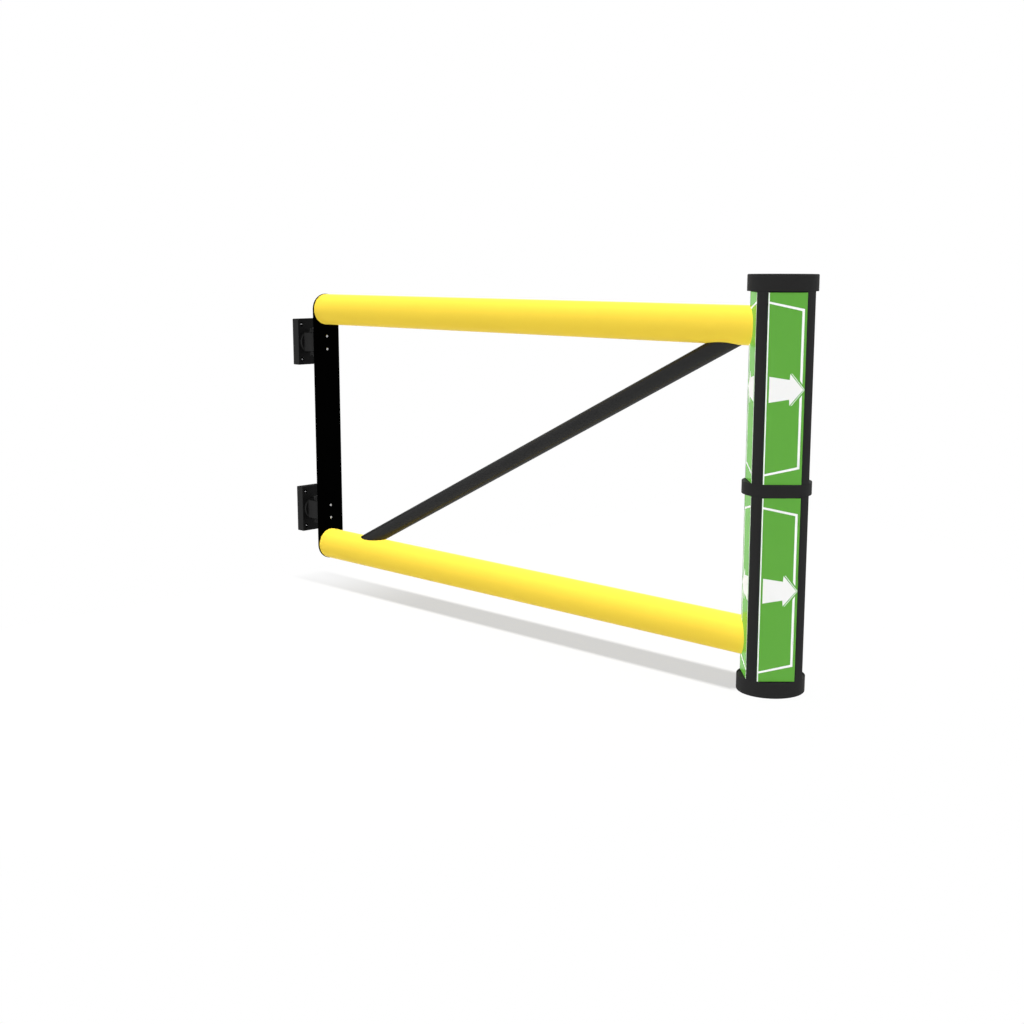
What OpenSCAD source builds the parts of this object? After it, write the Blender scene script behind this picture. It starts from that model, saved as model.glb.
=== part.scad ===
// Safety barrier swing gate: two round rails and a diagonal brace between a
// flat hinge stile and a round end post with four sign faces. Two wall blocks
// carry the hinges.
//
// Frame: origin at the centre of the lower wall block's back face, where it
// meets the wall. +X runs along the closed gate to the end post, +Z is up.
// Millimetres.

/* [Rails] */
// Outer diameter of both rails
rail_d = 110; // [90:1:130]
// Wall of the rail tubes
rail_wall = 6; // [3:0.5:12]
// Height between the two rail axes
rail_gap = 875; // [700:5:1000]
// Distance from the stile's front face to the post's axis
gate_reach = 1998; // [1200:1:2600]

/* [Brace] */
// Outer diameter of the diagonal brace
brace_d = 54; // [35:1:70]
// Wall of the brace tube
brace_wall = 4; // [2:0.5:8]
// Where the brace's axis meets the lower rail's axis, from the stile's face
brace_start = 141; // [100:1:300]
// Where the brace's axis meets the upper rail's axis, from the post's axis
brace_stop = 81; // [60:1:300]

/* [Hinge stile] */
// Thickness of the stile plate
plate_t = 7; // [5:1:15]
// Rim of the stile plate outside the rails
plate_rim = 1.5; // [0.5:0.5:6]

/* [Wall blocks] */
// Width of a wall block
block_w = 98; // [84:1:100]
// Height of a wall block
block_h = 170; // [150:1:240]
// Thickness of a wall block
block_t = 34.5; // [24:0.5:60]
// Radius of a wall block's four upright corners
block_r = 3; // [1:0.5:8]
// Distance from a rail's skin inwards to the middle of its wall block
block_inset = 67; // [45:1:145]
// Diameter of the screw holes
screw_d = 9; // [6:0.5:12]
// Diameter of the recess round a screw head
screw_head_d = 17; // [13:0.5:20]
// Depth of the recess round a screw head
screw_head_t = 6; // [3:0.5:12]
// Distance from a screw's axis to the block's side edge
screw_side = 17; // [12:0.5:20]
// Distance from a screw's axis to the block's top or bottom edge
screw_end = 20; // [12:0.5:24]

/* [Hinges] */
// Diameter of the round boss on a wall block
boss_d = 80; // [60:1:84]
// Thickness of the round boss
boss_t = 8; // [4:1:20]
// Distance from the boss's face to the hinge pin's axis
knuckle_reach = 37; // [36:1:60]
// Width of the wall knuckle
knuckle_w = 52; // [36:1:56]
// Height of the wall knuckle
knuckle_h = 68; // [40:1:90]
// Diameter of the hinge pin
pin_d = 16; // [10:1:20]
// Radial clearance of the hinge pin in its bores
pin_play = 0.05; // [0.02:0.01:0.1]
// Diameter of the hinge pin's head
pin_head_d = 26; // [22:1:34]
// Thickness of the hinge pin's head
pin_head_t = 4; // [2:0.5:8]
// Gap between the knuckle and each ear of the fork
ear_gap = 0.5; // [0.2:0.1:2]
// Thickness of each ear of the fork
ear_t = 15; // [8:1:24]
// Width of each ear of the fork
ear_w = 48; // [36:1:56]
// Width of the fork's foot
fork_w = 64; // [50:1:64]
// Thickness of the fork's foot
fork_foot_t = 19; // [8:1:30]
// Distance from the hinge pin's axis to the fork's foot
fork_reach = 37; // [34:1:60]

/* [End post] */
// Diameter of the round post
post_d = 191; // [176:1:200]
// Depth of the flat sign faces below the round of the post
flat_depth = 17.5; // [15:0.5:20]
// Length of the post beyond each rail's axis
post_rise = 140; // [120:1:200]
// Height of the round caps
cap_h = 45; // [30:1:60]
// Rounding of the caps' outer rims
cap_r = 3; // [1:0.5:6]
// Depth to which the core sits in each cap
cap_seat = 30; // [10:1:40]
// Height of the round collar at mid height
collar_h = 35; // [20:1:60]
// Wall of the post's square core
core_wall = 6; // [3:0.5:10]
// Thickness of the ribs over the core's rounded corners
rib_skin = 8; // [5:0.5:12]
// Width of a rib's flat shoulder beside a sign face
rib_lip = 3; // [2:0.5:10]

/* [Sign plates] */
// Thickness of a sign plate
sign_t = 3; // [1.5:0.5:5]
// Gap round a sign plate at its sides
sign_gap = 0.25; // [0.1:0.05:1]
// Gap above a sign plate
sign_top_gap = 3; // [0.5:0.5:8]
// Gap between a sign plate's cut-out and the rail
sign_rail_gap = 0.5; // [0.2:0.1:2]

/* [Hidden] */

black = "#2b2b2b";
deep_black = "#141414";
yellow = "#f5d94e";
green = "#65ab48";
steel = "silver";

// Cuts run this far past the faces they open.
past = 1;

// Places along X.
pivot_x = block_t + boss_t + knuckle_reach;
stile_x = pivot_x + fork_reach + fork_foot_t;
gate_x = stile_x + plate_t;
post_x = gate_x + gate_reach;

// Places along Z.
lower_hinge_z = 0;
lower_rail_z = lower_hinge_z - block_inset - rail_d / 2;
upper_rail_z = lower_rail_z + rail_gap;
upper_hinge_z = upper_rail_z - rail_d / 2 - block_inset;

// The post's storeys, from the foot up.
foot_z = lower_rail_z - post_rise;
head_z = upper_rail_z + post_rise;
storey_h = (head_z - foot_z - 2 * cap_h - collar_h) / 2;
lower_storey_z = foot_z + cap_h;
collar_z = lower_storey_z + storey_h;
upper_storey_z = collar_z + collar_h;

// Directions of the post's ribs and of its sign faces, in degrees from +X.
to_gate = 180;
to_front = -90;
to_end = 0;
to_back = 90;
gate_front = to_front - 45;
end_front = to_front + 45;
end_back = to_back - 45;
gate_back = to_back + 45;

// The post across its sign faces and its core, and from a face's middle to a rib.
post_flat = post_d - 2 * flat_depth;
core_flat = post_flat - 2 * sign_t;
core_nose_d = post_d - 2 * rib_skin;
rib_edge = sqrt(pow(post_d / 2, 2) - pow(post_flat / 2, 2)) - rib_lip;
sign_w = 2 * (rib_edge - sign_gap);

stile_r = rail_d / 2 + plate_rim;
fork_h = knuckle_h + 2 * (ear_gap + ear_t);

// A rod along +X from x = 0.
module rod_x(r, length) {
    rotate([0, 90, 0])
        cylinder(r = r, h = length, $fn = 96);
}

// A block along +X with a rounded outline across, centred on the X axis.
module rounded_slab_x(width, height, thick, r) {
    for (w = [width, width - 2 * r])
        let (h = w == width ? height - 2 * r : height)
            translate([0, -w / 2, -h / 2])
                cube([thick, w, h]);
    for (y = [-1, 1])
        for (z = [-1, 1])
            translate([0, y * (width / 2 - r), z * (height / 2 - r)])
                rod_x(r, thick);
}

// Both ends of a line of wall screws: the four corners of a block's pattern.
module at_screws() {
    for (y = [-1, 1])
        for (z = [-1, 1])
            translate([0, y * (block_w / 2 - screw_side), z * (block_h / 2 - screw_end)])
                children();
}

// Wall block with four recessed screw holes.
module wall_block(z) {
    color(black)
        translate([0, 0, z])
            difference() {
                rounded_slab_x(block_w, block_h, block_t, block_r);
                at_screws() {
                    translate([-past, 0, 0])
                        rod_x(screw_d / 2, block_t + 2 * past);
                    translate([block_t - screw_head_t, 0, 0])
                        rod_x(screw_head_d / 2, screw_head_t + past);
                }
            }
}

// A tongue of constant height that ends in a half round about the pin's axis.
module tongue(width, length, height) {
    translate([0, -width / 2, -height / 2])
        cube([length, width, height]);
    cylinder(d = width, h = height, center = true, $fn = 96);
}

module pin_bore(height) {
    cylinder(r = pin_d / 2 + pin_play, h = height + 2 * past, center = true, $fn = 96);
}

// Wall side of a hinge: a round boss and the knuckle that stands out of it.
module wall_knuckle(z) {
    color(black)
        translate([pivot_x, 0, z])
            difference() {
                union() {
                    translate([-knuckle_reach - boss_t, 0, 0])
                        rod_x(boss_d / 2, boss_t);
                    mirror([1, 0, 0])
                        tongue(knuckle_w, knuckle_reach, knuckle_h);
                }
                pin_bore(knuckle_h);
            }
}

// Gate side of a hinge: a foot on the stile and two ears round the knuckle.
module hinge_fork(z) {
    color(black)
        translate([pivot_x, 0, z])
            difference() {
                union() {
                    translate([fork_reach, -fork_w / 2, -fork_h / 2])
                        cube([fork_foot_t, fork_w, fork_h]);
                    for (side = [-1, 1])
                        translate([0, 0, side * (knuckle_h / 2 + ear_gap + ear_t / 2)])
                            tongue(ear_w, fork_reach, ear_t);
                }
                pin_bore(fork_h);
            }
}

// Hinge pin with a head at each end.
module hinge_pin(z) {
    color(steel)
        translate([pivot_x, 0, z]) {
            cylinder(d = pin_d, h = fork_h, center = true, $fn = 96);
            for (side = [0, 1])
                mirror([0, 0, side])
                    translate([0, 0, fork_h / 2])
                        cylinder(d = pin_head_d, h = pin_head_t, $fn = 96);
        }
}

// Flat plate that ends in a half round about each rail.
module hinge_stile() {
    color(deep_black)
        translate([stile_x, 0, 0]) {
            for (z = [lower_rail_z, upper_rail_z])
                translate([0, 0, z])
                    rod_x(stile_r, plate_t);
            translate([0, -stile_r, lower_rail_z])
                cube([plate_t, 2 * stile_r, rail_gap]);
        }
}

// A round post of this diameter with four flats, standing on z = 0.
module flatted_post(diameter, flat, height) {
    intersection() {
        cylinder(d = diameter, h = height, $fn = 128);
        rotate(45)
            translate([-flat / 2, -flat / 2, 0])
                cube([flat, flat, height]);
    }
}

// The space that the core fills, from the lower to the upper seat.
module core_space() {
    translate([post_x, 0, lower_storey_z - cap_seat])
        flatted_post(core_nose_d, core_flat, head_z - foot_z - 2 * (cap_h - cap_seat));
}

// The space round a rail, from the stile to the post's axis.
module rail_space(z, gap = 0) {
    translate([gate_x, 0, z])
        rod_x(rail_d / 2 + gap, gate_reach);
}

// Rail tube, notched at its end to sit on the core's corner.
module rail(z) {
    color(yellow)
        difference() {
            rail_space(z);
            translate([gate_x - past, 0, z])
                rod_x(rail_d / 2 - rail_wall, gate_reach + 2 * past);
            core_space();
        }
}

// Diagonal tube, cut to the round of both rails at its ends.
module diagonal_brace() {
    run = gate_reach - brace_start - brace_stop;
    span = norm([run, rail_gap]);
    color(black)
        difference() {
            translate([gate_x + brace_start, 0, lower_rail_z])
                rotate([0, -atan2(rail_gap, run), 0])
                    difference() {
                        rod_x(brace_d / 2, span);
                        rod_x(brace_d / 2 - brace_wall, span);
                    }
            rail_space(lower_rail_z);
            rail_space(upper_rail_z);
        }
}

// Hollow core of the post.
module post_core() {
    color(deep_black)
        difference() {
            core_space();
            translate([post_x, 0, foot_z])
                flatted_post(core_nose_d - 2 * core_wall, core_flat - 2 * core_wall, head_z - foot_z);
        }
}

// Round cap with a rounded rim and a seat for the core, rim upwards.
module post_cap() {
    difference() {
        rotate_extrude($fn = 128)
            polygon(concat(
                [[0, 0], [post_d / 2, 0]],
                [for (a = [0 : 15 : 90])
                    [post_d / 2 - cap_r * (1 - cos(a)), cap_h - cap_r * (1 - sin(a))]],
                [[0, cap_h]]
            ));
        translate([0, 0, -past])
            flatted_post(core_nose_d, core_flat, cap_seat + past);
    }
}

module post_top_cap() {
    color(black)
        translate([post_x, 0, head_z - cap_h])
            post_cap();
}

module post_bottom_cap() {
    color(black)
        translate([post_x, 0, foot_z + cap_h])
            mirror([0, 0, 1])
                post_cap();
}

// Round collar between the storeys.
module post_collar() {
    color(black)
        difference() {
            translate([post_x, 0, collar_z])
                cylinder(d = post_d, h = collar_h, $fn = 128);
            core_space();
        }
}

// Corner rib of one storey: the round skin between two sign faces.
module rib(storey_z, direction) {
    color(black)
        difference() {
            translate([post_x, 0, storey_z])
                intersection() {
                    flatted_post(post_d, post_flat, storey_h);
                    rotate(direction - 45)
                        translate([rib_edge, rib_edge, 0])
                            cube([post_d, post_d, storey_h]);
                }
            core_space();
            rail_space(lower_rail_z);
            rail_space(upper_rail_z);
        }
}

// Sign plate on one face of one storey, cut out round a rail that it meets.
module sign_plate(storey_z, direction) {
    color(green)
        difference() {
            translate([post_x, 0, storey_z])
                rotate(direction)
                    translate([core_flat / 2, -sign_w / 2, 0])
                        cube([sign_t, sign_w, storey_h - sign_top_gap]);
            rail_space(lower_rail_z, sign_rail_gap);
            rail_space(upper_rail_z, sign_rail_gap);
        }
}

wall_block(lower_hinge_z);  // lower_wall_block
wall_block(upper_hinge_z);  // upper_wall_block
wall_knuckle(lower_hinge_z);  // lower_wall_knuckle
wall_knuckle(upper_hinge_z);  // upper_wall_knuckle
hinge_fork(lower_hinge_z);  // lower_hinge_fork
hinge_fork(upper_hinge_z);  // upper_hinge_fork
hinge_pin(lower_hinge_z);  // lower_hinge_pin
hinge_pin(upper_hinge_z);  // upper_hinge_pin
hinge_stile();
rail(lower_rail_z);  // lower_rail
rail(upper_rail_z);  // upper_rail
diagonal_brace();
post_core();
post_bottom_cap();
post_collar();
post_top_cap();
rib(lower_storey_z, to_gate);  // lower_rib_gate
rib(lower_storey_z, to_front);  // lower_rib_front
rib(lower_storey_z, to_end);  // lower_rib_end
rib(lower_storey_z, to_back);  // lower_rib_back
rib(upper_storey_z, to_gate);  // upper_rib_gate
rib(upper_storey_z, to_front);  // upper_rib_front
rib(upper_storey_z, to_end);  // upper_rib_end
rib(upper_storey_z, to_back);  // upper_rib_back
sign_plate(lower_storey_z, gate_front);  // lower_sign_gate_front
sign_plate(lower_storey_z, end_front);  // lower_sign_end_front
sign_plate(lower_storey_z, end_back);  // lower_sign_end_back
sign_plate(lower_storey_z, gate_back);  // lower_sign_gate_back
sign_plate(upper_storey_z, gate_front);  // upper_sign_gate_front
sign_plate(upper_storey_z, end_front);  // upper_sign_end_front
sign_plate(upper_storey_z, end_back);  // upper_sign_end_back
sign_plate(upper_storey_z, gate_back);  // upper_sign_gate_back
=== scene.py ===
"""Looks of a safety barrier swing gate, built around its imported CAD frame.

Everything is in metres, in the frame of the CAD: +X runs from the wall along the
closed gate to its end post, +Z is up, and the lower wall block's back face has
the origin at its centre. Each new piece is a skin of rings of points. A ring is
written in its own directions (a, b, c), where c is the way that the skin grows,
and is then set into the frame. A skin is its points and its faces, as arrays of
faces with the same count of corners.
"""
import math

import bpy
import bmesh
import numpy as np
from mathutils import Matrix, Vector


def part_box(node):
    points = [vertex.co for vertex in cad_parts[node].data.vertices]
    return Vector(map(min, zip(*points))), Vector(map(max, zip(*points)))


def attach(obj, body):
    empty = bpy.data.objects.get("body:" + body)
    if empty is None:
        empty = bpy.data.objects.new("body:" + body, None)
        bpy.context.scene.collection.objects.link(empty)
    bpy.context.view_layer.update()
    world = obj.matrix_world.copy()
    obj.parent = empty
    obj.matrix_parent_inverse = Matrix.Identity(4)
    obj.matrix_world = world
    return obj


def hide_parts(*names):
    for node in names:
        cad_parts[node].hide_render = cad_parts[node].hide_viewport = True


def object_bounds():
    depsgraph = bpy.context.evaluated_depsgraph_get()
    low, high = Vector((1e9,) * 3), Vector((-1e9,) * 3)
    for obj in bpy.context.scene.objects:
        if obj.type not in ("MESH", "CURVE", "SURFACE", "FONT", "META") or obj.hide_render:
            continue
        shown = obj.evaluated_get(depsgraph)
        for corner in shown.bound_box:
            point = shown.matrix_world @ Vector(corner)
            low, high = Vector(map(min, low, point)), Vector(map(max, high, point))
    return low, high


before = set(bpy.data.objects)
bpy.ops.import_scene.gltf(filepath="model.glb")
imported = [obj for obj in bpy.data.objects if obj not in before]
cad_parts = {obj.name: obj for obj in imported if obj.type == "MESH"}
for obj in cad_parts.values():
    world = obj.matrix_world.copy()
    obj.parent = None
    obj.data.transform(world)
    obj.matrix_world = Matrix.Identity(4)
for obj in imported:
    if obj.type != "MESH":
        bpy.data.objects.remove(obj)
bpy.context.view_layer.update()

MM = 0.001
TURN = 2 * math.pi


def quarter(steps):
    """Angles of a quarter turn in equal steps, both ends included."""
    return np.linspace(0, math.pi / 2, steps + 1)


def circle(steps):
    """Unit circle of points: (cosine, sine) at equal steps of a turn."""
    angle = np.arange(steps) / steps * TURN
    return np.column_stack([np.cos(angle), np.sin(angle)])


# ---------------------------------------------------------------- directions

UP = np.array([[1.0, 0, 0], [0, 1, 0], [0, 0, 1]])
DOWN = np.array([[1.0, 0, 0], [0, -1, 0], [0, 0, -1]])
ALONG = np.array([[0, 1.0, 0], [0, 0, 1], [1, 0, 0]])
WALLWARD = np.array([[0, -1.0, 0], [0, 0, 1], [-1, 0, 0]])
HALF_TURN = np.array([[-1.0, 0, 0], [0, -1, 0], [0, 0, 1]])


def heading(degrees):
    """Level unit vector at an angle from +X: (cosine, sine, 0)."""
    t = math.radians(degrees)
    return np.array([math.cos(t), math.sin(t), 0.0])


def middle(node):
    """Middle of a CAD node's box."""
    low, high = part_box(node)
    return (np.array(low) + np.array(high)) / 2


# ---------------------------------------------------------------- skins

def grid_faces(rows, cols):
    """Quads of a grid of points whose last column meets its first: corner (row, col)
    joins (row, col + 1), (row + 1, col + 1) and (row + 1, col)."""
    row, col = np.meshgrid(np.arange(rows - 1), np.arange(cols), indexing="ij")
    a = row * cols + col
    b = row * cols + (col + 1) % cols
    return np.stack([a, b, b + cols, a + cols], axis=-1).reshape(-1, 4)


def skin(rings, ends="fan"):
    """Skin over a stack of rings with equal counts. Its ends close with a fan to the
    ring's mean, with a ladder between the ring's two halves, or, for a tube with a
    bore, with a loop from the last ring back to the first. With "none" they stay open."""
    rings = np.asarray(rings, float)
    rows, cols, _ = rings.shape
    points = rings.reshape(-1, 3)
    faces = [grid_faces(rows, cols)]
    last = (rows - 1) * cols
    j = np.arange(cols)
    k = (j + 1) % cols
    if ends == "fan":
        points = np.vstack([points, rings[0].mean(0), rings[-1].mean(0)])
        tip = np.full(cols, rows * cols)
        faces += [np.stack([k, j, tip], -1), np.stack([last + j, last + k, tip + 1], -1)]
    elif ends == "ladder":
        a = np.arange(cols // 2 - 1)
        rungs = np.stack([a, a + 1, cols - 2 - a, cols - 1 - a], -1)
        faces += [rungs[:, ::-1], rungs + last]
    elif ends == "loop":
        faces.append(np.stack([last + j, last + k, k, j], -1))
    return points, faces


def joined(*shells):
    """Several skins as one: the faces of each count on from the points before."""
    starts = np.cumsum([0] + [len(points) for points, _ in shells])
    points = np.vstack([points for points, _ in shells])
    faces = [some + start for start, (_, faces) in zip(starts, shells) for some in faces]
    return points, faces


def set_in(shell, at, basis=UP, mirrored=False):
    """Skin set into the frame: at + a * first + b * second + c * third direction.
    A mirrored basis turns each face round, so that it still points outwards."""
    points, faces = shell
    if mirrored:
        faces = [some[:, ::-1] for some in faces]
    return points @ basis + np.asarray(at, float), faces


def outline(corners, steps):
    """Convex outline of corner arcs (centre a, centre b, radius, first and last angle).
    Gives each point's centre, radius and direction: point = centre + radius * direction."""
    t = np.linspace(0, 1, steps + 1)
    centre = np.vstack([np.tile([a, b], (steps + 1, 1)) for a, b, *_ in corners])
    radius = np.concatenate([np.full(steps + 1, r) for _, _, r, _, _ in corners])
    angle = np.radians(np.concatenate([first + t * (last - first) for *_, first, last in corners]))
    return centre, radius, np.column_stack([np.cos(angle), np.sin(angle)])


CORNER_STEPS, HALF_ROUND_STEPS = 6, 24
TONGUE_CORNER = 3 * MM


def box_outline(width, height, r):
    """Outline of a rounded rectangle about the origin: four quarter arcs of radius r."""
    a, b = width / 2 - r, height / 2 - r
    corners = [(a, -b, r, -90, 0), (a, b, r, 0, 90), (-a, b, r, 90, 180), (-a, -b, r, 180, 270)]
    return outline(corners, CORNER_STEPS)


def tongue_outline(back, half_width):
    """Outline of a bar from a = back to a half round about the origin, towards +a."""
    r, side = TONGUE_CORNER, half_width - TONGUE_CORNER
    tip = outline([(0, 0, half_width, -90, 90)], HALF_ROUND_STEPS)
    foot = outline([(back + r, side, r, 90, 180), (back + r, -side, r, 180, 270)], CORNER_STEPS)
    return tuple(np.concatenate([x, y]) for x, y in zip(tip, foot))


def rings_of(edge, inset, height):
    """One ring per (inset, height) pair: centre + (radius - inset) * direction."""
    centre, radius, direction = edge
    inset, height = np.asarray(inset, float), np.asarray(height, float)
    ab = centre + (radius - inset[:, None])[..., None] * direction
    c = np.broadcast_to(height[:, None, None], ab.shape[:2] + (1,))
    return np.concatenate([ab, c], axis=-1)


BAND = 0.6 * MM


def rim(low, high, low_round, high_round, steps=4):
    """(inset, height) of a side wall with a quarter round at either rim: the inset is
    round * (1 - sine), then round * (1 - cosine). A narrow flat band beside each round
    keeps the flat faces flat in shade."""
    t = quarter(steps)
    inset = np.concatenate([[low_round + BAND], low_round * (1 - np.sin(t)), [0, 0],
                            high_round * (1 - np.cos(t)), [high_round + BAND]])
    height = np.concatenate([[low], low + low_round * (1 - np.cos(t)),
                             [low + low_round + BAND, high - high_round - BAND],
                             high - high_round * (1 - np.sin(t)), [high]])
    return inset, height


def slab(edge, low, high, low_round, high_round, steps=4):
    """Outline raised from low to high, with rounded rims."""
    return skin(rings_of(edge, *rim(low, high, low_round, high_round, steps)))


def turned(radius, height, steps=96):
    """Surface of revolution: each (radius, height) pair carried round c."""
    edge = (np.zeros((steps, 2)), np.zeros(steps), circle(steps))
    return skin(rings_of(edge, -np.asarray(radius, float), height))


def root_fillet(edge, size):
    """Hollow quarter round where a shape stands on a face: the outline grown by
    size * (1 - sine) at a height of size * (1 - cosine)."""
    t = quarter(5)
    return skin(rings_of(edge, -size * (1 - np.sin(t)), size * (1 - np.cos(t))))


# ---------------------------------------------------------------- finishes

# The noise stays mostly between these two levels. The grain stands this far proud.
NOISE_LOW, NOISE_HIGH = 0.3, 0.7
GRAIN_DEPTH = 0.1 * MM
DRIFT_DETAIL, GRAIN_DETAIL = 3.0, 2.0


def grey(level):
    """Colour without a hue."""
    return (level, level, level)


def finish(name, dark, light, rough, specular, drift, grain, bump, metallic=0.0, coat=0.0,
           stretch=(1, 1, 1)):
    """Material whose colour drifts softly between two near shades and its roughness
    with it, over a fine grain that stands out of the surface as bump. Drift and grain
    are the waves of each to the metre."""
    material = bpy.data.materials.new(name)
    material.use_nodes = True
    nodes, links = material.node_tree.nodes, material.node_tree.links
    shader = nodes["Principled BSDF"]
    shader.inputs["Specular IOR Level"].default_value = specular
    shader.inputs["Metallic"].default_value = metallic
    shader.inputs["Coat Weight"].default_value = coat
    shader.inputs["Coat Roughness"].default_value = sum(rough) / 2
    place = nodes.new("ShaderNodeTexCoord")
    spread = nodes.new("ShaderNodeMapping")
    spread.inputs["Scale"].default_value = stretch
    links.new(place.outputs["Object"], spread.inputs["Vector"])
    soft, fine = nodes.new("ShaderNodeTexNoise"), nodes.new("ShaderNodeTexNoise")
    for noise, scale, detail in ((soft, drift, DRIFT_DETAIL), (fine, grain, GRAIN_DETAIL)):
        noise.inputs["Scale"].default_value = scale
        noise.inputs["Detail"].default_value = detail
        links.new(spread.outputs["Vector"], noise.inputs["Vector"])
    shade = nodes.new("ShaderNodeMix")
    shade.data_type = "RGBA"
    shade.inputs["A"].default_value = (*dark, 1)
    shade.inputs["B"].default_value = (*light, 1)
    links.new(soft.outputs["Fac"], shade.inputs["Factor"])
    links.new(shade.outputs["Result"], shader.inputs["Base Color"])
    gloss = nodes.new("ShaderNodeMapRange")
    gloss.inputs["From Min"].default_value = NOISE_LOW
    gloss.inputs["From Max"].default_value = NOISE_HIGH
    gloss.inputs["To Min"].default_value = rough[0]
    gloss.inputs["To Max"].default_value = rough[1]
    links.new(soft.outputs["Fac"], gloss.inputs["Value"])
    links.new(gloss.outputs["Result"], shader.inputs["Roughness"])
    relief = nodes.new("ShaderNodeBump")
    relief.inputs["Strength"].default_value = bump
    relief.inputs["Distance"].default_value = GRAIN_DEPTH
    links.new(fine.outputs["Fac"], relief.inputs["Height"])
    links.new(relief.outputs["Normal"], shader.inputs["Normal"])
    return material


YELLOW = finish("yellow_tube", dark=(0.895, 0.650, 0.0633), light=(0.950, 0.694, 0.0678),
                rough=(0.30, 0.42), specular=0.02, drift=6, grain=500, bump=0.25, stretch=(0.15, 1, 1))
BLACK = finish("black_moulding", dark=grey(0.0172), light=grey(0.0200),
               rough=(0.16, 0.28), specular=0.0, drift=14, grain=1400, bump=0.2, coat=0.12)
BLOCK_BLACK = finish("black_block", dark=grey(0.0185), light=grey(0.0225),
                     rough=(0.20, 0.32), specular=0.0, drift=18, grain=1500, bump=0.3, coat=0.06)
HINGE_BLACK = finish("black_casting", dark=grey(0.0165), light=grey(0.0210),
                     rough=(0.26, 0.38), specular=0.0, drift=30, grain=1800, bump=0.4, coat=0.05)
BRACE_BLACK = finish("black_tube", dark=grey(0.0165), light=grey(0.0198),
                     rough=(0.18, 0.30), specular=0.0, drift=14, grain=1400, bump=0.2, coat=0.25)
DEEP_BLACK = finish("deep_black_plate", dark=grey(0.0002), light=grey(0.0005),
                    rough=(0.3, 0.45), specular=0.002, drift=20, grain=1600, bump=0.3)
GREEN = finish("green_plate", dark=(0.109, 0.378, 0.042), light=(0.119, 0.394, 0.048),
               rough=(0.06, 0.12), specular=0.0, drift=9, grain=900, bump=0.05, coat=0.40)
WHITE = finish("white_film", dark=(0.89, 0.89, 0.88), light=(0.93, 0.93, 0.92),
               rough=(0.10, 0.18), specular=0.0, drift=25, grain=900, bump=0.05, coat=0.12)
LINE_WHITE = finish("white_line", dark=(0.935, 0.935, 0.93), light=(0.96, 0.96, 0.955),
                    rough=(0.10, 0.18), specular=0.0, drift=25, grain=900, bump=0.05, coat=0.12)
STEEL = finish("turned_steel", dark=(0.50, 0.50, 0.51), light=(0.62, 0.62, 0.63),
               rough=(0.22, 0.38), specular=0.5, drift=200, grain=2500, bump=0.15, metallic=1.0)


# ---------------------------------------------------------------- pieces

# The lamps come in groups: for all on the wall, for the yellow tubes and white marks,
# for the brace, for the sign plates, and for the rest, nearly all of it black. Only the
# pieces gathered in solids can shade others: the floor and the CAD's own nodes can't.
LAMP_GROUPS = ("hinges", "black", "brace", "plates", "pale")
lit = {group: bpy.data.collections.new(group + "_lit") for group in LAMP_GROUPS}
LAMPS_ON = {"yellow_tube": "pale", "white_film": "pale", "white_line": "pale", "black_tube": "brace"}
solids = bpy.data.collections.new("solids")

SHARP_ANGLE = math.radians(32)
WELD_GAP = 0.001 * MM


def piece(name, shell, material, body, replaces=(), weld=False):
    """Mesh piece of a skin, shaded smooth up to an angle, that rides on a CAD body. A
    weld makes one point of those that lie together, where a skin's parts meet."""
    points, faces = shell
    mesh = bpy.data.meshes.new(name)
    mesh.from_pydata(points.tolist(), [], [face for some in faces for face in some.tolist()])
    if weld:
        work = bmesh.new()
        work.from_mesh(mesh)
        bmesh.ops.remove_doubles(work, verts=work.verts, dist=WELD_GAP)
        work.to_mesh(mesh)
        work.free()
    mesh.shade_smooth()
    mesh.set_sharp_from_angle(angle=SHARP_ANGLE)
    mesh.materials.append(material)
    new = bpy.data.objects.new(name, mesh)
    bpy.context.scene.collection.objects.link(new)
    group = "hinges" if body == "wall_side" else LAMPS_ON.get(material.name, "black")
    lit[group].objects.link(new)
    solids.objects.link(new)
    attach(new, body)
    if replaces:
        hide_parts(*replaces)


BOLT_STEPS = 60
CROWN = 0.32                # crown's round, as a share of the head's height
UNDERSIDE = 0.9             # ring that keeps its underside flat, as a share of its radius
SOCKET_MOUTH = np.array([[0.25, 0], [0.04, 0.12], [0, 0.3]]) * MM    # outwards and down


def bolt_head(head_r, head_h, socket_r, socket_depth):
    """Button head with a hexagon socket: circles up to the crown, then rings that hug
    the hexagon, whose radius at an angle is its flat radius over the cosine from the
    middle of the flat."""
    angle = np.arange(BOLT_STEPS) / BOLT_STEPS * TURN
    flat = socket_r / np.cos(np.mod(angle, TURN / 6) - TURN / 12)
    t = quarter(4)
    crown_r = head_r - CROWN * head_h * (1 - np.cos(t))
    crown_h = head_h - CROWN * head_h * (1 - np.sin(t))
    radii = [np.full(BOLT_STEPS, r) for r in (UNDERSIDE * head_r, head_r, *crown_r)]
    radii += [flat + out for out in SOCKET_MOUTH[:, 0]] + [flat, flat / 2]
    floor_h = head_h - socket_depth
    heights = [0, 0, *crown_h, *(head_h - SOCKET_MOUTH[:, 1]), floor_h, floor_h]
    return skin([np.column_stack([circle(BOLT_STEPS) * r[:, None], np.full(BOLT_STEPS, h)])
                 for r, h in zip(radii, heights)])


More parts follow.
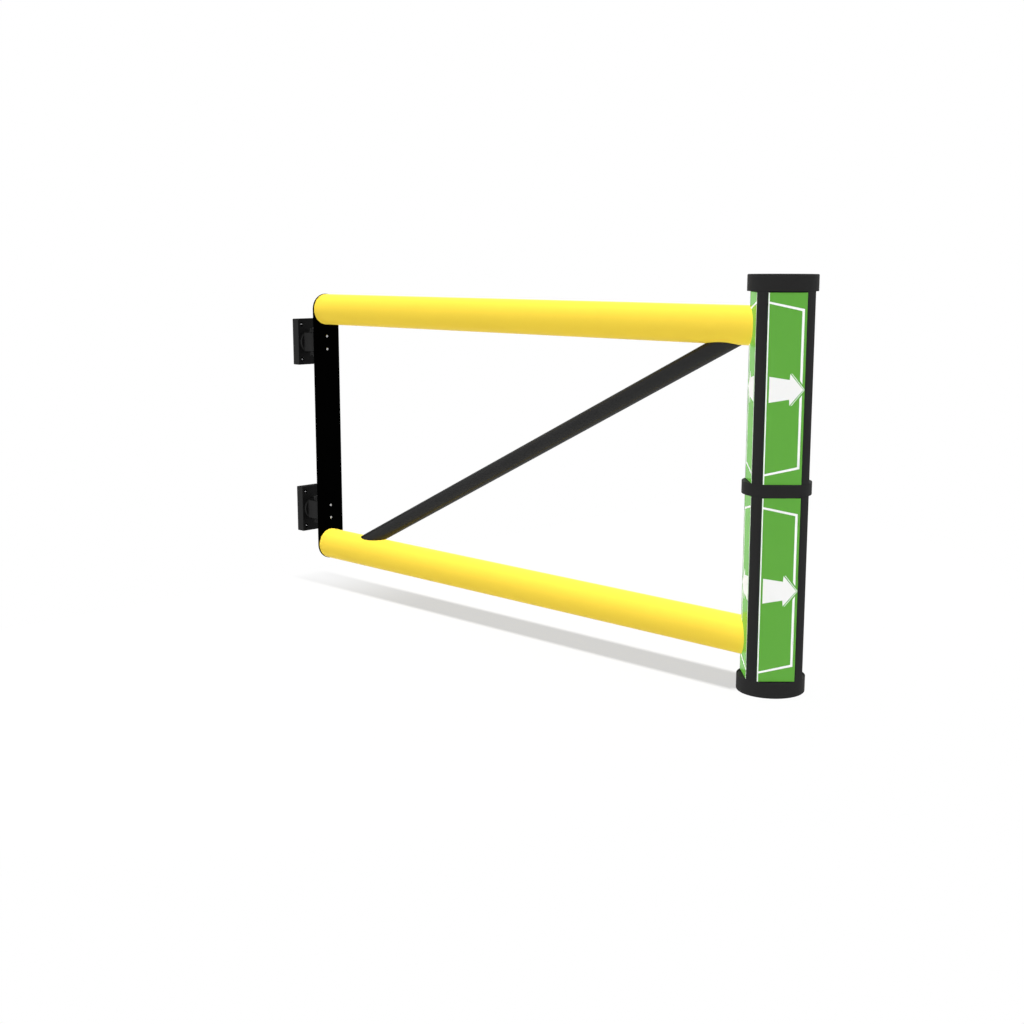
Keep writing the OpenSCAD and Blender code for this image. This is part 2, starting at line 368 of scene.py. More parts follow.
# Wall blocks.
SCREW_SIDE, SCREW_END = 17 * MM, 20 * MM
SCREW_R, RECESS_R, RECESS_DEPTH = 4.5 * MM, 8.5 * MM, 6 * MM
BLOCK_CORNER, BLOCK_ROUND = 3 * MM, 2.2 * MM
HOLE_LIP = 0.5 * MM
LIP_MIDDLE = 0.3            # middle of a recess's bottom corner, as a share of the lip
SIDE_POINTS = 9             # points along a side, and along a corner's arc
FACE_STEPS = [0, 0.04, 0.5, 0.96, 1]    # shares of the way from the outline to the hole


def block_quarter(width, height, thick):
    """Quarter of a wall block about a screw hole. The back and the front face run from
    the block's outline and its two middle lines to circles about the screw, by
    straight steps between them, and the front goes on down the recess and the bore.
    The side wall has rounded rims."""
    a, b, r, n = width / 2, height / 2, BLOCK_CORNER, SIDE_POINTS
    s = np.linspace(0, 1, n)
    rise, run = s * (b - r), (1 - s) * (a - r)
    centre = np.vstack([np.column_stack([np.full(n, a - r), rise]), np.full((n - 2, 2), [a - r, b - r]),
                        np.column_stack([run, np.full(n, b - r)])])
    turn = np.concatenate([np.zeros(n), quarter(n - 1)[1:-1], np.full(n, math.pi / 2)])
    edge = (centre, np.full(len(turn), r), np.column_stack([np.cos(turn), np.sin(turn)]))
    inner = np.linspace(0, 1, n + 1)[1:]
    down = np.column_stack([np.zeros(n), (1 - inner) * (b - BLOCK_ROUND)])
    out = np.column_stack([inner[:-1] * (a - BLOCK_ROUND), np.zeros(n - 1)])
    face = np.vstack([rings_of(edge, [BLOCK_ROUND], [0])[0, :, :2], down, out])
    screw = np.array([a - SCREW_SIDE, b - SCREW_END])
    ray = face - screw
    ray = ray / np.linalg.norm(ray, axis=1)[:, None]

    def face_rings(hole_r, at, steps):
        near = screw + hole_r * ray
        return [np.column_stack([face + (near - face) * t, np.full(len(face), at)]) for t in steps]

    def bore_ring(radius, at):
        return np.column_stack([screw + radius * ray, np.full(len(face), at)])

    lip, bottom = HOLE_LIP, thick - RECESS_DEPTH
    corner = LIP_MIDDLE * lip
    rings = face_rings(RECESS_R + lip, thick, FACE_STEPS)
    rings += [bore_ring(RECESS_R + lip * (1 - math.sin(x)), thick - lip * (1 - math.cos(x)))
              for x in quarter(3)[1:]]
    rings += [bore_ring(RECESS_R, bottom + lip), bore_ring(RECESS_R - corner, bottom + corner),
              bore_ring(RECESS_R - lip, bottom), bore_ring(SCREW_R + lip, bottom),
              bore_ring(SCREW_R, bottom - lip), bore_ring(SCREW_R, lip), bore_ring(SCREW_R + lip, 0)]
    rings += face_rings(SCREW_R + lip, 0, FACE_STEPS[-2::-1])
    closed = skin(rings, ends="none")
    inset, at = rim(0, thick, BLOCK_ROUND, BLOCK_ROUND, 5)
    wall = rings_of(edge, inset[1:-1], at[1:-1])
    rows, cols, _ = wall.shape
    quads = grid_faces(rows, cols).reshape(rows - 1, cols, 4)[:, :-1].reshape(-1, 4)
    return joined(closed, (wall.reshape(-1, 3), [quads]))


def wall_block(width, height, thick):
    """Four mirrored quarters, which meet along the block's two middle lines."""
    one = block_quarter(width, height, thick)
    return joined(*[set_in(one, [0, 0, 0], np.diag([y, z, 1.0]), mirrored=y * z < 0)
                    for y in (1, -1) for z in (1, -1)])


# Hinges.
HUB = MM                    # ring to which a turned face runs before its middle closes
BOSS_T, BOSS_ROUND, BOSS_FOOT = 8 * MM, 1.6 * MM, 0.5 * MM
KNUCKLE_H, EAR_T, FOOT_T = 68 * MM, 15 * MM, 19 * MM
HINGE_ROUND, FOOT_ROUND, FOOT_CORNER = 1.8 * MM, 0.5 * MM, 4 * MM
SUNK = 3 * MM               # how deep a tongue runs into what carries it
KNUCKLE_ROOT, EAR_ROOT, EAR_ROOT_CORNER, EAR_ROOT_LIFT = 4 * MM, 2.4 * MM, 2 * MM, 0.2 * MM

# Washers, screws and bolts. A washer and a pin are sections of (radius, height) pairs.
WASHER = np.array([[4.8, 0], [7.2, 0], [7.6, 0.15], [7.8, 0.4], [7.8, 1.2], [7.4, 1.6], [5.2, 1.6]]) * MM
SCREW_SEAT = 1.4 * MM
WALL_SCREW = {"head_r": 3.6 * MM, "head_h": 2.6 * MM, "socket_r": 1.5 * MM, "socket_depth": 1.4 * MM}
STILE_BOLT = {"head_r": 4.3 * MM, "head_h": 2.8 * MM, "socket_r": 1.8 * MM, "socket_depth": 1.6 * MM}
BOLT_RISE = 23.5 * MM       # stile bolts above and below the middle of a hinge
PIN_DRILLING = np.array([[1.2, 1.6], [2.6, 0.5], [3.2, 0]]) * MM
PIN_CROWN = np.array([[2, 0], [0.9, 0.25], [0.25, 0.9], [0, 1.5]]) * MM      # inwards and down
PIN_SHAFT_R, PIN_HEAD_T, PIN_EDGE, PIN_NECK = 8 * MM, 4 * MM, 0.25 * MM, 0.3 * MM
WASHER_STEPS, PIN_STEPS = 48, 64


def corners_of(node):
    """Lowest and highest corner of a CAD node, as arrays."""
    low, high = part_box(node)
    return np.array(low), np.array(high)


def wall_part(storey):
    """Wall block with its washers and screws."""
    low, high = corners_of(storey + "_wall_block")
    at = np.array([low[0], 0.0, (low[2] + high[2]) / 2])
    width, height, thick = high[1] - low[1], high[2] - low[2], high[0] - low[0]
    piece(storey + "_block_moulding", set_in(wall_block(width, height, thick), at, ALONG), BLOCK_BLACK,
          "wall_side", [storey + "_wall_block"], weld=True)
    screws = at + [[thick - RECESS_DEPTH, y * (width / 2 - SCREW_SIDE), z * (height / 2 - SCREW_END)]
                   for y in (-1, 1) for z in (-1, 1)]
    washer = turned(*WASHER.T, WASHER_STEPS)
    piece(storey + "_wall_washers", joined(*[set_in(washer, p, ALONG) for p in screws]), HINGE_BLACK,
          "wall_side")
    head = bolt_head(**WALL_SCREW)
    piece(storey + "_wall_screws", joined(*[set_in(head, p + [SCREW_SEAT, 0, 0], ALONG) for p in screws]),
          STEEL, "wall_side")


def knuckle(storey, pivot):
    """Round boss on the wall block, with a tongue that ends in a half round about the pin,
    and a hollow fillet at the tongue's root."""
    low, high = corners_of(storey + "_wall_knuckle")
    boss_r, knuckle_r = (high[2] - low[2]) / 2, high[0] - pivot[0]
    t = quarter(4)
    radius = np.concatenate([[HUB, boss_r, boss_r, boss_r], boss_r - BOSS_ROUND * (1 - np.cos(t)),
                             [boss_r - BOSS_ROUND - BAND, HUB]])
    rise = np.concatenate([[0, 0, BOSS_FOOT, BOSS_T - BOSS_ROUND - BAND],
                           BOSS_T - BOSS_ROUND * (1 - np.sin(t)), [BOSS_T, BOSS_T]])
    boss_at = np.array([low[0], 0, pivot[2]])
    reach = pivot[0] - low[0] - BOSS_T
    tongue = slab(tongue_outline(-reach - SUNK, knuckle_r), -KNUCKLE_H / 2, KNUCKLE_H / 2,
                  HINGE_ROUND, HINGE_ROUND)
    root = root_fillet(box_outline(2 * knuckle_r, KNUCKLE_H, TONGUE_CORNER), KNUCKLE_ROOT)
    piece(storey + "_knuckle_casting",
          joined(set_in(turned(radius, rise), boss_at, ALONG), set_in(tongue, pivot),
                 set_in(root, boss_at + [BOSS_T, 0, 0], ALONG)),
          HINGE_BLACK, "wall_side", [storey + "_wall_knuckle"])


def fork(storey, pivot):
    """Foot on the stile, with an ear above and an ear below the knuckle, each with a
    hollow fillet at its root."""
    low, high = corners_of(storey + "_hinge_fork")
    width, height, ear_r = high[1] - low[1], high[2] - low[2], pivot[0] - low[0]
    foot_at = np.array([high[0] - FOOT_T, 0, pivot[2]])
    foot = slab(box_outline(width, height, FOOT_CORNER), 0, FOOT_T, HINGE_ROUND, FOOT_ROUND)
    reach = foot_at[0] - pivot[0]
    ear = slab(tongue_outline(-reach - SUNK, ear_r), -EAR_T / 2, EAR_T / 2, HINGE_ROUND, HINGE_ROUND)
    root = root_fillet(box_outline(2 * ear_r, EAR_T, EAR_ROOT_CORNER), EAR_ROOT)
    ears = []
    for side in (-1, 1):
        mid = side * (height - EAR_T) / 2
        ears.append(set_in(ear, pivot + [0, 0, mid], HALF_TURN))
        ears.append(set_in(root, foot_at + [0, 0, mid - side * EAR_ROOT_LIFT], WALLWARD))
    piece(storey + "_fork_casting", joined(set_in(foot, foot_at, ALONG), *ears),
          HINGE_BLACK, "gate", [storey + "_hinge_fork"])


def pin(storey, pivot):
    """Turned pin, the same at both ends: a drilled centre, a crowned head, a shaft."""
    low, high = corners_of(storey + "_hinge_pin")
    head_r, half = (high[0] - low[0]) / 2, (high[2] - low[2]) / 2
    r = np.concatenate([PIN_DRILLING[:, 0], head_r - PIN_CROWN[:, 0],
                        [head_r, head_r - PIN_EDGE, PIN_SHAFT_R + PIN_NECK, PIN_SHAFT_R]])
    h = np.concatenate([PIN_DRILLING[:, 1], PIN_CROWN[:, 1],
                        [PIN_HEAD_T - PIN_NECK, PIN_HEAD_T, PIN_HEAD_T, PIN_HEAD_T + PIN_NECK]]) - half
    section = turned(np.append(r, r[::-1]), np.append(h, -h[::-1]), PIN_STEPS)
    piece(storey + "_turned_pin", set_in(section, pivot), STEEL, "gate",
          [storey + "_hinge_pin"])


def stile_bolts(storey, pivot):
    """Two bolts on the stile's far face, above and below the middle of a hinge."""
    plate_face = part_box("hinge_stile")[1][0]
    bolt = bolt_head(**STILE_BOLT)
    piece(storey + "_stile_bolts",
          joined(*[set_in(bolt, [plate_face, 0, pivot[2] + z], ALONG) for z in (-BOLT_RISE, BOLT_RISE)]),
          STEEL, "gate")


for storey in ("lower", "upper"):
    pivot = middle(storey + "_hinge_pin")
    wall_part(storey)
    knuckle(storey, pivot)
    fork(storey, pivot)
    pin(storey, pivot)
    stile_bolts(storey, pivot)


# Stile, rails and brace.
rail_z = {s: middle(s + "_rail")[2] for s in ("lower", "upper")}
rail_r = (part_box("lower_rail")[1][2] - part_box("lower_rail")[0][2]) / 2
rail_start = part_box("lower_rail")[0][0]
RAIL_WALL, BRACE_WALL = 6 * MM, 4 * MM
TUBE_STEPS, TUBE_ROWS = 128, 9

STILE_ROUND, STILE_STEPS = 0.8 * MM, 64
stile_low, stile_high = corners_of("hinge_stile")
stile_edge = outline([(0, rail_z["upper"], stile_high[1], 0, 180),
                      (0, rail_z["lower"], stile_high[1], 180, 360)], STILE_STEPS)
stile = slab(stile_edge, 0, stile_high[0] - stile_low[0], STILE_ROUND, STILE_ROUND, steps=3)
piece("stile_plate", set_in(stile, [stile_low[0], 0, 0], ALONG), DEEP_BLACK,
      "gate", ["hinge_stile"])

post_axis = middle("post_top_cap") * [1, 1, 0]
post_r = (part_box("post_top_cap")[1][0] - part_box("post_top_cap")[0][0]) / 2
core_r = (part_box("post_core")[1][0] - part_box("post_core")[0][0]) / 2
# A sign plate stands at 45 degrees to X. From the post's axis, its box, times the root
# of two, starts at its face's distance less its thickness and half its width, and it
# ends at that distance plus half its width.
SIGN_T = 3 * MM
plate_low, plate_high = corners_of("upper_sign_end_front")
face_and_half = (plate_high[0] - post_axis[0]) * math.sqrt(2)
sign_half = (face_and_half - (plate_low[0] - post_axis[0]) * math.sqrt(2) - SIGN_T) / 2
sign_face = face_and_half - sign_half
core_face = sign_face - SIGN_T


def tube_angles(radius, wall):
    """a and b of a tube's outer and inner points, two rows: radius times cosine and sine."""
    ab = circle(TUBE_STEPS)
    r = np.array([[radius], [radius - wall]])
    return r * ab[:, 0], r * ab[:, 1]


def round_tube(radius, wall, low, high):
    """Tube along c from low to high, which may differ at each angle: straight steps
    from one end's curve to the other outside, and straight back inside."""
    a, b = tube_angles(radius, wall)
    low, high = (np.broadcast_to(x, a.shape) for x in (low, high))
    t = np.linspace(0, 1, TUBE_ROWS)[:, None]
    outside = low[0] + t * (high[0] - low[0])
    inside = high[1] + t * (low[1] - high[1])
    rings = [np.stack([np.broadcast_to(a[k], c.shape), np.broadcast_to(b[k], c.shape), c], -1)
             for k, c in enumerate((outside, inside))]
    return skin(np.concatenate(rings), ends="loop")


# A rail ends where it meets the core: at its flats, or at the round corner between them.
across, _ = tube_angles(rail_r, RAIL_WALL)
notch = np.maximum(core_face * math.sqrt(2) - np.abs(across), 0)
nose = np.sqrt(np.maximum(core_r ** 2 - across ** 2, 0))
rail_end = post_axis[0] - np.minimum(notch, nose) - rail_start
for storey in ("lower", "upper"):
    piece(storey + "_rail_tube",
          set_in(round_tube(rail_r, RAIL_WALL, 0.0, rail_end), [rail_start, 0, rail_z[storey]], ALONG),
          YELLOW, "gate", [storey + "_rail"])

# The brace's axis runs between the rails' own, from near the stile to near the post. It
# ends in the rails' round, sunk a little: the root of their radius squared less the
# level distance squared.
BRACE_R, BRACE_SUNK = 27 * MM, 0.3 * MM
BRACE_FROM_STILE, BRACE_FROM_POST = 141 * MM, 81 * MM
brace_foot = np.array([rail_start + BRACE_FROM_STILE, 0, rail_z["lower"]])
brace_head = np.array([post_axis[0] - BRACE_FROM_POST, 0, rail_z["upper"]])
brace_way = (brace_head - brace_foot) / np.linalg.norm(brace_head - brace_foot)
brace_basis = np.array([[0, 1.0, 0], np.cross(brace_way, [0, 1.0, 0]), brace_way])
side, over = tube_angles(BRACE_R, BRACE_WALL)
saddle = np.sqrt(rail_r ** 2 - side ** 2) - BRACE_SUNK
drop = over * brace_basis[1][2]
foot_c = (saddle - drop) / brace_way[2]
head_c = (rail_z["upper"] - rail_z["lower"] - saddle - drop) / brace_way[2]
piece("brace_tube", set_in(round_tube(BRACE_R, BRACE_WALL, foot_c, head_c), brace_foot, brace_basis),
      BRACE_BLACK, "gate", ["diagonal_brace"])


# End post.
CAP_EDGE, CAP_CROWN, CAP_DISH, BASE_GAP, COLLAR_ROUND = 0.8 * MM, 3 * MM, 1.2 * MM, 3 * MM, 1.2 * MM
SHOULDER = 9 * MM                           # flat of a dished face beside its crown
GAP_IN, GAP_LIP, GAP_EDGE = 4 * MM, 2 * MM, 0.2 * MM
DISC_STEPS = 160


def disc(node, low_round, high_round, dish=0.0, gap=0.0, basis=UP):
    """Round cap or collar: a wall with rounded rims between two level faces. A gap
    deepens the near face in a ring inside its rim, and a dish lowers the middle of the
    far face inside a rounded shoulder."""
    low, high = corners_of(node)
    tall = high[2] - low[2]
    inset, height = rim(0, tall, low_round, high_round, 6)
    radius = post_r - inset
    near_r, near_h, far_r, far_h = [HUB], [0], [HUB], [tall]
    if gap:
        seat_r, lip_r = core_face - GAP_IN, post_r - GAP_LIP
        near_r, near_h = [HUB, seat_r, seat_r, lip_r, lip_r], [0, 0, gap, gap, GAP_EDGE]
    if dish:
        t = quarter(4)
        shoulder_r = radius[-1] - SHOULDER
        far_r = np.concatenate([shoulder_r - dish * np.sin(t), [shoulder_r - 2 * dish, HUB]])
        far_h = np.concatenate([tall - dish * (1 - np.cos(t)), [tall - dish, tall - dish]])
    radius = np.concatenate([near_r, radius, far_r])
    height = np.concatenate([near_h, height, far_h])
    at = post_axis + [0, 0, high[2] if basis is DOWN else low[2]]
    return set_in(turned(radius, height, DISC_STEPS), at, basis)


top_cap = disc("post_top_cap", CAP_EDGE, CAP_CROWN, CAP_DISH)
piece("top_cap_moulding", top_cap, BLACK, "gate", ["post_top_cap"])
bottom_cap = disc("post_bottom_cap", CAP_EDGE, CAP_CROWN, CAP_DISH, BASE_GAP, DOWN)
piece("bottom_cap_moulding", bottom_cap, BLACK, "gate", ["post_bottom_cap"])
collar = disc("post_collar", COLLAR_ROUND, COLLAR_ROUND)
piece("collar_moulding", collar, BLACK, "gate", ["post_collar"])

RIB_ROUND, RIB_CLEAR = 0.8 * MM, 0.25 * MM
RIB_ARC_POINTS = 17


def rib_section():
    """Section of a corner rib in the directions square to its two sign faces: out along
    one side, round the post's circle, and back in, then along the core's round."""
    side = sign_half + RIB_CLEAR
    corner = math.sqrt(post_r ** 2 - sign_face ** 2)
    t = quarter(4)
    first = math.atan2(corner, sign_face)
    arc = np.linspace(first, math.pi / 2 - first, RIB_ARC_POINTS)
    lip = np.column_stack([sign_face - RIB_ROUND * (1 - np.sin(t)), side + RIB_ROUND * (1 - np.cos(t))])
    root = math.sqrt(core_r ** 2 - side ** 2)
    half = np.vstack([[root, side], lip])
    outer = np.vstack([half, post_r * np.column_stack([np.cos(arc), np.sin(arc)]), half[::-1, ::-1]])
    back = math.atan2(side, root)
    inner_arc = np.linspace(math.pi / 2 - back, back, len(outer) + 2)[1:-1]
    inner = core_r * np.column_stack([np.cos(inner_arc), np.sin(inner_arc)])
    return np.vstack([outer, inner])


def rib(direction, low, high):
    """Rib section raised from low to high, each one level or a curve over the points."""
    ab = rib_section()
    basis = np.array([heading(direction - 45), heading(direction + 45), [0, 0, 1.0]])
    rings = [np.column_stack([ab, np.broadcast_to(c, len(ab))]) for c in (low, high)]
    return set_in(skin(rings, ends="ladder"), post_axis, basis)


RIBS = {"gate": 180, "front": -90, "end": 0, "back": 90}
for storey in ("lower", "upper"):
    for name, direction in RIBS.items():
        node = f"{storey}_rib_{name}"
        low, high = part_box(node)[0][2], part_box(node)[1][2]
        if name == "gate":
            ab = rib_section()
            level = ab @ np.array([heading(direction - 45)[1], heading(direction + 45)[1]])
            rise = np.sqrt(rail_r ** 2 - level ** 2)
            parts = [rib(direction, low, rail_z[storey] - rise), rib(direction, rail_z[storey] + rise, high)]
        else:
            parts = [rib(direction, low, high)]
        piece(f"{storey}_{name}_rib_skin", joined(*parts), BLACK, "gate", [node])


# Sign plates: green plates with white film marks. Each face has its direction from the
# post's axis, and the sign that makes its marks run away from the front or back rib.
FILM, FILM_SUNK = 0.12 * MM, 0.2
TOP_GAP, SIDE_GAP, RAIL_GAP = 0.2 * MM, 0.15 * MM, 0.6 * MM
SLOPE_POINTS = 25
FACES = {"gate_front": (-135, -1), "end_front": (-45, 1), "end_back": (45, -1), "gate_back": (135, 1)}


def film(outer, inner):
    """Flat strip between two curves of (u, v) points, raised by the film's thickness."""
    ab = np.vstack([outer, inner[::-1]])
    rings = [np.column_stack([ab, np.full(len(ab), c)]) for c in (-FILM_SUNK * FILM, FILM)]
    return skin(rings, ends="ladder")


def rail_edges(u, face, rail_v):
    """Distances from the plate's middle to the near and the far edge of the rail at each
    u: the rail's own distance, less and plus the root of its radius squared less the
    level distance squared."""
    direction, turn = FACES[face]
    y = sign_face * heading(direction)[1] + u * heading(direction + 90)[1] * turn
    reach = np.sqrt(np.maximum((rail_r + RAIL_GAP) ** 2 - y ** 2, 0))
    return rail_v - reach, rail_v + reach


# Corners (u, v) of the marks in one half of a plate, as an outer and an inner edge: the
# door's sloping bar and its upright bar, an arrow through it, and a thin line beside
# the arrow's head.
DOOR = np.array([[[-48.6, 232.9], [45.2, 213.4], [45.2, 14.4]],
                 [[-48.6, 227.3], [38.8, 208.2], [38.8, 24.4]]]) * MM
ARROW = np.array([[-43, 34.7], [-20, 31.1], [11.3, 26.2], [12.5, 42.3], [30, 21.45], [48, 0.2]]) * MM
HEAD_LINE = np.array([[17.7, 43.0], [35.0, 21.3], [51.6, 0.5]]) * MM
HEAD_LINE_W = 1.9 * MM


def marks(storey, face):
    """White marks of one sign plate: a line down the post's front or back rib, a door
    outline in false perspective, and an arrow. Gives the skin of the lines and that of
    the arrow. The rail covers part of the door on the plates at the gate."""
    low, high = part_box(f"{storey}_sign_{face}")
    direction, turn = FACES[face]
    middle_z, top_v = (low[2] + high[2]) / 2, (high[2] - low[2]) / 2 - TOP_GAP
    rail_v = rail_z[storey] - middle_z
    side_u, door_u = SIDE_GAP - sign_half, DOOR[0, 0, 0]
    lines = [film([[side_u, top_v], [side_u, -top_v]], [[door_u, top_v], [door_u, -top_v]])]
    for up in (1, -1):
        bands = [DOOR, np.array([HEAD_LINE, HEAD_LINE - [HEAD_LINE_W, 0]])]
        if face.startswith("gate") and rail_v * up > 0:
            t = np.linspace(0, 1, SLOPE_POINTS)[:, None]
            slope = DOOR[:, :1] + t * (DOOR[:, 1:2] - DOOR[:, :1])
            slope[..., 1] = np.maximum(slope[..., 1], rail_edges(slope[..., 0], face, abs(rail_v))[1])
            upright = DOOR[:, 1:].copy()
            upright[:, 0, 1] = rail_edges(upright[:, 0, 0], face, abs(rail_v))[0]
            bands = [slope, upright, bands[1]]
        lines += [film(*(band[:, ::-up] * [1, up])) for band in bands]
    arrow = [film(ARROW * [1, -1], ARROW)]
    basis = np.array([heading(direction + 90) * turn, [0, 0, 1.0], heading(direction)])
    at = post_axis + sign_face * heading(direction) + [0, 0, middle_z]
    return [set_in(joined(*skins), at, basis, mirrored=turn < 0) for skins in (lines, arrow)]


for storey in ("lower", "upper"):
    for face in FACES:
        for part, shell, film_finish in zip(("lines", "arrow"), marks(storey, face), (LINE_WHITE, WHITE)):
            piece(f"{storey}_{face}_{part}", shell, film_finish, "gate")
        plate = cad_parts[f"{storey}_sign_{face}"]
        plate.material_slots[0].material = GREEN
        lit["plates"].objects.link(plate)
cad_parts["post_core"].material_slots[0].material = DEEP_BLACK
lit["black"].objects.link(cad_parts["post_core"])


# ---------------------------------------------------------------- stage

FLOOR_REACH, UNDER_GATE = 30.0, 2.5 * MM
floor_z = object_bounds()[0][2] - UNDER_GATE
pivot_at = middle("lower_hinge_pin")

floor_mesh = bpy.data.meshes.new("floor")
floor_corners = [(x * FLOOR_REACH, y * FLOOR_REACH, floor_z) for x, y in ((-1, -1), (1, -1), (1, 1), (-1, 1))]
floor_mesh.from_pydata(floor_corners, [], [(0, 1, 2, 3)])
floor = bpy.data.objects.new("floor", floor_mesh)
bpy.context.scene.collection.objects.link(floor)


def seen_rays(nodes, links):
    """1 for rays of the camera, of gloss and of glass, which see the white backdrop."""
    path = nodes.new("ShaderNodeLightPath")
    most = nodes.new("ShaderNodeMath")
    most.operation = "MAXIMUM"
    both = nodes.new("ShaderNodeMath")
    both.operation = "MAXIMUM"
    links.new(path.outputs["Is Camera Ray"], most.inputs[0])
    links.new(path.outputs["Is Glossy Ray"], most.inputs[1])
    links.new(most.outputs[0], both.inputs[0])
    links.new(path.outputs["Is Transmission Ray"], both.inputs[1])
    return both.outputs[0]


def plain_emission(nodes, strength):
    """White emission of one strength."""
    new = nodes.new("ShaderNodeEmission")
    new.inputs["Color"].default_value = (1, 1, 1, 1)
    new.inputs["Strength"].default_value = strength
    return new


# The floor is white where the lamp over the post reaches it, and a pale grey in the shadow of the rails and
# the brace. With distance from the hinges' axis that shade fades in, and out again beyond the gate's reach,
# and along X it fades in at the wall. Where it fades, a plain white glow paints the shadow out.
WHITE_LEVEL, SHADE, FLOOR_PAINT, AMBIENT, LAMP_H = 1.0, 0.638, 0.10, 0.20, 4.1
HINGE_FADE, WALL_FADE, REACH_FADE = (-0.23, 0.64), (-0.12, 0.02), (2.3, 2.7)
lamp_foot = post_axis + [0, 0, floor_z]

floor_finish = bpy.data.materials.new("pale_floor")
floor_finish.use_nodes = True
nodes, links = floor_finish.node_tree.nodes, floor_finish.node_tree.links
nodes.clear()
place = nodes.new("ShaderNodeTexCoord")
shift = nodes.new("ShaderNodeMapping")
shift.inputs["Location"].default_value = (-pivot_at[0], -pivot_at[1], -floor_z)
reach, parts = nodes.new("ShaderNodeVectorMath"), nodes.new("ShaderNodeSeparateXYZ")
reach.operation = "LENGTH"
links.new(place.outputs["Object"], shift.inputs["Vector"])
links.new(shift.outputs["Vector"], reach.inputs[0])
links.new(shift.outputs["Vector"], parts.inputs["Vector"])
zone, room = nodes.new("ShaderNodeMath"), nodes.new("ShaderNodeMath")
zone.operation = room.operation = "MULTIPLY"
links.new(room.outputs[0], zone.inputs[1])
for source, target, (start, stop), first in (
        (reach.outputs["Value"], zone.inputs[0], HINGE_FADE, 0),
        (reach.outputs["Value"], room.inputs[0], REACH_FADE, 1),
        (parts.outputs["X"], room.inputs[1], WALL_FADE, 0)):
    fade = nodes.new("ShaderNodeMapRange")
    fade.interpolation_type = "SMOOTHSTEP"
    fade.inputs["From Min"].default_value = start
    fade.inputs["From Max"].default_value = stop
    fade.inputs["To Min"].default_value = first
    fade.inputs["To Max"].default_value = 1 - first
    links.new(source, fade.inputs["Value"])
    links.new(fade.outputs["Result"], target)
paint, lit_floor = nodes.new("ShaderNodeBsdfDiffuse"), nodes.new("ShaderNodeAddShader")
# The paint makes up for the lamp's falloff: its colour at a distance d from the lamp's
# foot is FLOOR_PAINT times (1 + (d / LAMP_H) squared) to the power of 1.5.
aside, off = nodes.new("ShaderNodeVectorMath"), nodes.new("ShaderNodeVectorMath")
aside.operation, off.operation = "SUBTRACT", "LENGTH"
aside.inputs[1].default_value = lamp_foot
links.new(place.outputs["Object"], aside.inputs[0])
links.new(aside.outputs["Vector"], off.inputs[0])
value = off.outputs["Value"]
for operation, number in (("DIVIDE", LAMP_H), ("POWER", 2), ("ADD", 1), ("POWER", 1.5),
                          ("MULTIPLY", FLOOR_PAINT)):
    step = nodes.new("ShaderNodeMath")
    step.operation = operation
    step.inputs[1].default_value = number
    links.new(value, step.inputs[0])
    value = step.outputs[0]
links.new(value, paint.inputs["Color"])
near, shown = nodes.new("ShaderNodeMixShader"), nodes.new("ShaderNodeMixShader")
links.new(paint.outputs[0], lit_floor.inputs[0])
links.new(plain_emission(nodes, SHADE - AMBIENT * FLOOR_PAINT).outputs[0], lit_floor.inputs[1])
links.new(zone.outputs[0], near.inputs["Fac"])
links.new(plain_emission(nodes, WHITE_LEVEL).outputs[0], near.inputs[1])
links.new(lit_floor.outputs[0], near.inputs[2])
links.new(seen_rays(nodes, links), shown.inputs["Fac"])
links.new(plain_emission(nodes, AMBIENT).outputs[0], shown.inputs[1])
links.new(near.outputs[0], shown.inputs[2])
links.new(shown.outputs[0], nodes.new("ShaderNodeOutputMaterial").inputs["Surface"])
floor_mesh.materials.append(floor_finish)

world = bpy.data.worlds.new("white_studio")
bpy.context.scene.world = world
world.use_nodes = True
nodes, links = world.node_tree.nodes, world.node_tree.links
nodes.clear()
sky, backdrop = nodes.new("ShaderNodeBackground"), nodes.new("ShaderNodeBackground")
sky.inputs["Color"].default_value = backdrop.inputs["Color"].default_value = (1, 1, 1, 1)
sky.inputs["Strength"].default_value = AMBIENT
shown = nodes.new("ShaderNodeMixShader")
links.new(seen_rays(nodes, links), shown.inputs["Fac"])
links.new(sky.outputs[0], shown.inputs[1])
links.new(backdrop.outputs[0], shown.inputs[2])
links.new(shown.outputs[0], nodes.new("ShaderNodeOutputWorld").inputs["Surface"])


def soft_sun(name, way, strength, group, shadow, spread):
    """Very broad lamp on one group of pieces, with or without shadows."""
    lamp = bpy.data.lights.new(name, "SUN")
    lamp.energy = strength * math.pi
    lamp.angle = math.radians(spread)
    lamp.use_shadow = shadow
    lamp.cycles.use_multiple_importance_sampling = False
    new = bpy.data.objects.new(name, lamp)
    new.rotation_euler = Vector(way).to_track_quat("Z", "Y").to_euler()
    new.visible_glossy = False
    new.light_linking.receiver_collection = lit[group]
    new.light_linking.blocker_collection = solids
    bpy.context.scene.collection.objects.link(new)


# Lamps from six sides light each group of the gate. All six have the same strength,
# FILL, and some add to it: the ceiling, the left on plates and black parts, and the
# floor on the brace. Shadows fall on the black parts and the brace alone.
FILL, CEILING, LEFT = 0.363, 0.893, 0.5
BRACE_CEILING, BRACE_FLOOR = 0.3, 0.6
GATE_SPREAD = 90
EXTRA = {"black": {"ceiling": CEILING, "left": LEFT},
         "brace": {"ceiling": BRACE_CEILING, "floor": BRACE_FLOOR},
         "plates": {"ceiling": CEILING, "left": LEFT},
         "pale": {"ceiling": CEILING}}
SIDES = {"left": (-1, 0, 0), "right": (1, 0, 0), "front": (0, -1, 0), "back": (0, 1, 0),
         "floor": (0, 0, -1), "ceiling": (0, 0, 1)}
for group, extra in EXTRA.items():
    for name, way in SIDES.items():
        soft_sun(f"{name}_lamp_{group}", way, FILL + extra.get(name, 0), group,
                 group in ("black", "brace"), GATE_SPREAD)
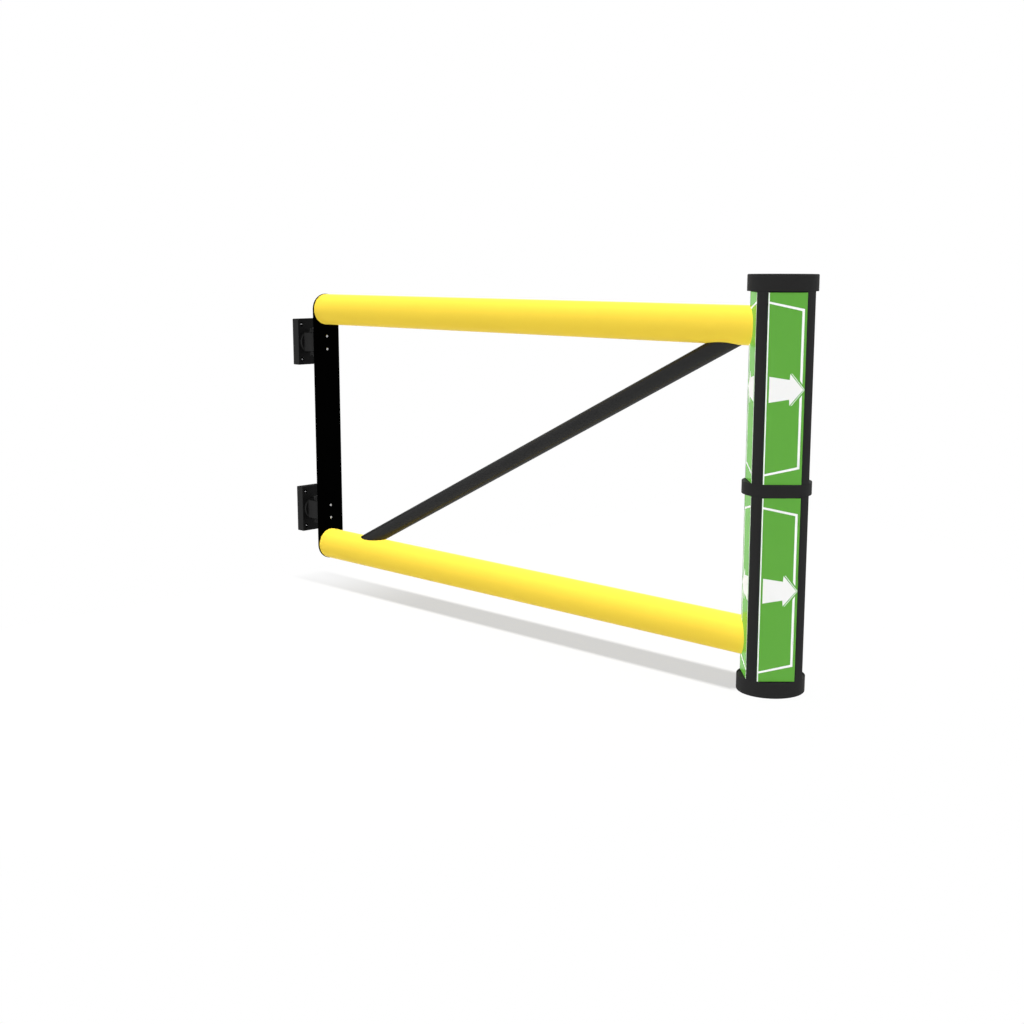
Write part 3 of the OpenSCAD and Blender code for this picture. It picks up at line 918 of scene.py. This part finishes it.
# All on the wall is lit from both sides of the gate, and its parts shade each other.
HINGE_LAMP, HINGE_SPREAD = 1.0, 60
for name in ("front", "back"):
    soft_sun(name + "_lamp_hinges", SIDES[name], HINGE_LAMP, "hinges", True, HINGE_SPREAD)

# Lamp over the post, for the floor alone: only the rails and the brace shade it.
LAMP_R = 40 * MM
shadow_lamp = bpy.data.lights.new("shadow_lamp", "POINT")
shadow_lamp.energy = (WHITE_LEVEL - SHADE) / FLOOR_PAINT * math.pi * 4 * math.pi * LAMP_H ** 2
shadow_lamp.shadow_soft_size = LAMP_R
over_post = bpy.data.objects.new("shadow_lamp", shadow_lamp)
over_post.location = (lamp_foot + [0, 0, LAMP_H]).tolist()
over_post.visible_glossy = False
bpy.context.scene.collection.objects.link(over_post)
shaded, shading = bpy.data.collections.new("shaded"), bpy.data.collections.new("shading")
shaded.objects.link(floor)
for name in ("lower_rail_tube", "upper_rail_tube", "brace_tube"):
    shading.objects.link(bpy.data.objects[name])
over_post.light_linking.receiver_collection = shaded
over_post.light_linking.blocker_collection = shading

# The camera stands CAMERA_DISTANCE from a point in the gate's own plane, with its
# azimuth measured from -Y towards +X.
LENS, SENSOR = 50.09, 36
AIM_FROM_STILE, AIM_HEIGHT = 967.4 * MM, 116.6 * MM
CAMERA_AZIMUTH, CAMERA_ELEVATION, CAMERA_DISTANCE = 45.064, 9.977, 4.6733
camera_data = bpy.data.cameras.new("camera")
camera_data.lens = LENS
camera_data.sensor_width = SENSOR
camera = bpy.data.objects.new("camera", camera_data)
bpy.context.scene.collection.objects.link(camera)
aim = np.array([rail_start + AIM_FROM_STILE, 0.0, AIM_HEIGHT])
level = math.radians(CAMERA_ELEVATION)
away = -heading(90 + CAMERA_AZIMUTH) * math.cos(level) + np.array([0, 0, math.sin(level)])
camera.location = (aim + CAMERA_DISTANCE * away).tolist()
camera.rotation_euler = (math.pi / 2 - level, 0, math.radians(CAMERA_AZIMUTH))
bpy.context.scene.camera = camera
bpy.context.scene.view_settings.view_transform = "Standard"
